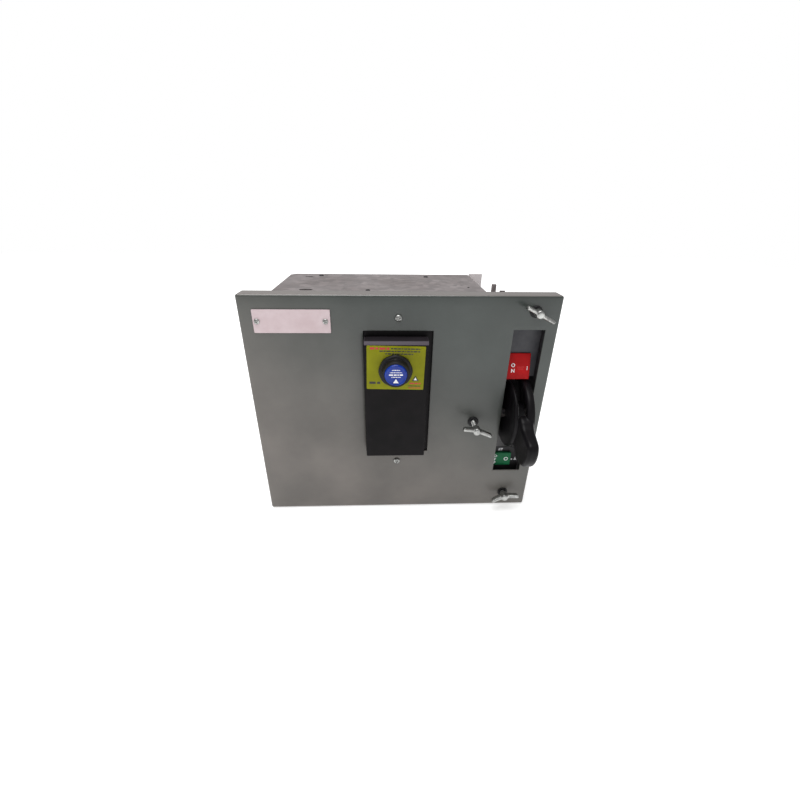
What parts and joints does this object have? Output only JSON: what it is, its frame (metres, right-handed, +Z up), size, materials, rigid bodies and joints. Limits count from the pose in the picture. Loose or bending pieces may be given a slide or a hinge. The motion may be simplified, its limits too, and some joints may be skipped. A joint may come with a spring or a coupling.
{
  "type": "manual transfer switch unit",
  "caption": "Plug-in manual transfer switch unit: steel door with loop handle in a slot, wing screws, pilot button and a drawn pan behind.",
  "frame": {"origin": "on the flat underside of the bottom panel, midway across the door's width and at the middle of the depth from door face to pan back", "axes": "+X across the door towards the handle, +Y from the door's face into the pan, +Z up"},
  "size_m": [0.39, 0.2997, 0.324],
  "materials": {
    "grey_green_enamel": "satin",
    "galvanised_steel": "satin",
    "zinc_plated_steel": "satin",
    "dark_oxide_steel": "satin",
    "black_phenolic": "satin",
    "black_nylon": "satin",
    "glass_filled_polyester": "matte",
    "silver_plated_copper": "satin",
    "grey_steel_paint": "satin",
    "red_abs": "gloss",
    "green_abs": "satin",
    "white_polyester_glass": "matte",
    "white_laminate": "satin",
    "yellow_vinyl": "satin",
    "blue_acrylic": "gloss"
  },
  "bodies": {
    "pan": {"top_panel": "galvanised_steel", "bottom_panel": "galvanised_steel", "left_side_panel": "galvanised_steel", "right_side_panel": "galvanised_steel", "back_panel": "galvanised_steel", "mechanism_frame": "galvanised_steel", "rear_barrier": "white_polyester_glass", "catch_bracket": "zinc_plated_steel", "pan_hinge_upper": "zinc_plated_steel", "pan_hinge_lower": "zinc_plated_steel", "weld_nut_top": "zinc_plated_steel", "weld_nut_middle": "zinc_plated_steel", "weld_nut_bottom": "zinc_plated_steel", "stab_housing": "glass_filled_polyester", "switch_base": "glass_filled_polyester", "power_stab_1": "silver_plated_copper", "power_stab_2": "silver_plated_copper", "power_stab_3": "silver_plated_copper", "line_jaw_1": "silver_plated_copper", "line_jaw_2": "silver_plated_copper", "line_jaw_3": "silver_plated_copper", "load_terminal_1": "silver_plated_copper", "load_terminal_2": "silver_plated_copper", "load_terminal_3": "silver_plated_copper", "upper_face_plate": "grey_steel_paint", "lower_face_plate": "black_nylon", "on_plate": "red_abs", "off_plate": "green_abs"},
    "door": {"door_panel": "grey_green_enamel", "door_hinge_upper": "zinc_plated_steel", "door_hinge_lower": "zinc_plated_steel", "nameplate": "white_laminate", "nameplate_screw_1": "zinc_plated_steel", "nameplate_screw_2": "zinc_plated_steel", "device_housing": "black_nylon", "housing_screw_1": "zinc_plated_steel", "housing_screw_2": "zinc_plated_steel", "warning_label": "yellow_vinyl", "bezel_ring": "black_nylon", "contact_block": "black_nylon", "button_spring": "zinc_plated_steel", "door_grommet_top": "black_nylon", "door_grommet_middle": "black_nylon", "door_grommet_bottom": "black_nylon"},
    "button": {"push_button": "blue_acrylic"},
    "handle": {"operating_handle": "black_phenolic", "handle_shaft": "dark_oxide_steel"},
    "drive_link": {"drive_link": "zinc_plated_steel"},
    "crossbar": {"crossbar": "glass_filled_polyester", "crossbar_crank": "dark_oxide_steel", "moving_blade_1": "silver_plated_copper", "moving_blade_2": "silver_plated_copper", "moving_blade_3": "silver_plated_copper"},
    "top_screw_ring": {"retaining_ring_top": "dark_oxide_steel"},
    "top_wing_screw": {"wing_screw_top": "zinc_plated_steel"},
    "middle_screw_ring": {"retaining_ring_middle": "dark_oxide_steel"},
    "middle_wing_screw": {"wing_screw_middle": "zinc_plated_steel"},
    "bottom_screw_ring": {"retaining_ring_bottom": "dark_oxide_steel"},
    "bottom_wing_screw": {"wing_screw_bottom": "zinc_plated_steel"}
  },
  "joints": [
    {"name": "door_swing", "type": "hinge", "parent": "pan", "child": "door", "pos_m": [-0.19, -0.0925, 0.1625], "axis": [0, 0, -1], "range_deg": [0, 105]},
    {"name": "handle_throw", "type": "hinge", "parent": "pan", "child": "handle", "pos_m": [0.16, -0.0815, 0.156], "axis": [-1, 0, 0], "range_deg": [0, 60]},
    {"name": "link_on_handle", "type": "hinge", "parent": "handle", "child": "drive_link", "pos_m": [0.126, -0.08225, 0.17999], "axis": [-1, 0, 0], "range_deg": [-60, 0]},
    {"name": "crossbar_turn", "type": "hinge", "parent": "pan", "child": "crossbar", "pos_m": [0.014, 0.0025, 0.111], "axis": [-1, 0, 0], "range_deg": [0, 60]},
    {"name": "button_press", "type": "slide", "parent": "door", "child": "button", "axis": [0, 1, 0], "range_m": [0, 0.0035], "stiffness_N_per_m": 400, "deforming": ["button_spring"]},
    {"name": "top_screw_travel", "type": "slide", "parent": "door", "child": "top_screw_ring", "axis": [0, -1, 0], "range_m": [0, 0.0127]},
    {"name": "top_screw_turn", "type": "hinge", "parent": "top_screw_ring", "child": "top_wing_screw", "pos_m": [0.163, -0.1145, 0.305], "axis": [0, -1, 0], "range_deg": [0, 3600]},
    {"name": "middle_screw_travel", "type": "slide", "parent": "door", "child": "middle_screw_ring", "axis": [0, 1, 0], "range_m": [0, 0.0127]},
    {"name": "middle_screw_turn", "type": "hinge", "parent": "middle_screw_ring", "child": "middle_wing_screw", "pos_m": [0.101, -0.1272, 0.151], "axis": [0, 1, 0], "range_deg": [0, 3600]},
    {"name": "bottom_screw_travel", "type": "slide", "parent": "door", "child": "bottom_screw_ring", "axis": [0, -1, 0], "range_m": [0, 0.0127]},
    {"name": "bottom_screw_turn", "type": "hinge", "parent": "bottom_screw_ring", "child": "bottom_wing_screw", "pos_m": [0.159, -0.1145, 0.026], "axis": [0, -1, 0], "range_deg": [0, 3600]}
  ],
  "couplings": [
    {"joint": "link_on_handle", "follows": "handle_throw", "ratio": -1},
    {"joint": "crossbar_turn", "follows": "handle_throw", "ratio": 1},
    {"joint": "top_screw_turn", "follows": "top_screw_travel", "rad_per_m": 4947.4},
    {"joint": "middle_screw_turn", "follows": "middle_screw_travel", "rad_per_m": 4947.4},
    {"joint": "bottom_screw_turn", "follows": "bottom_screw_travel", "rad_per_m": 4947.4}
  ]
}
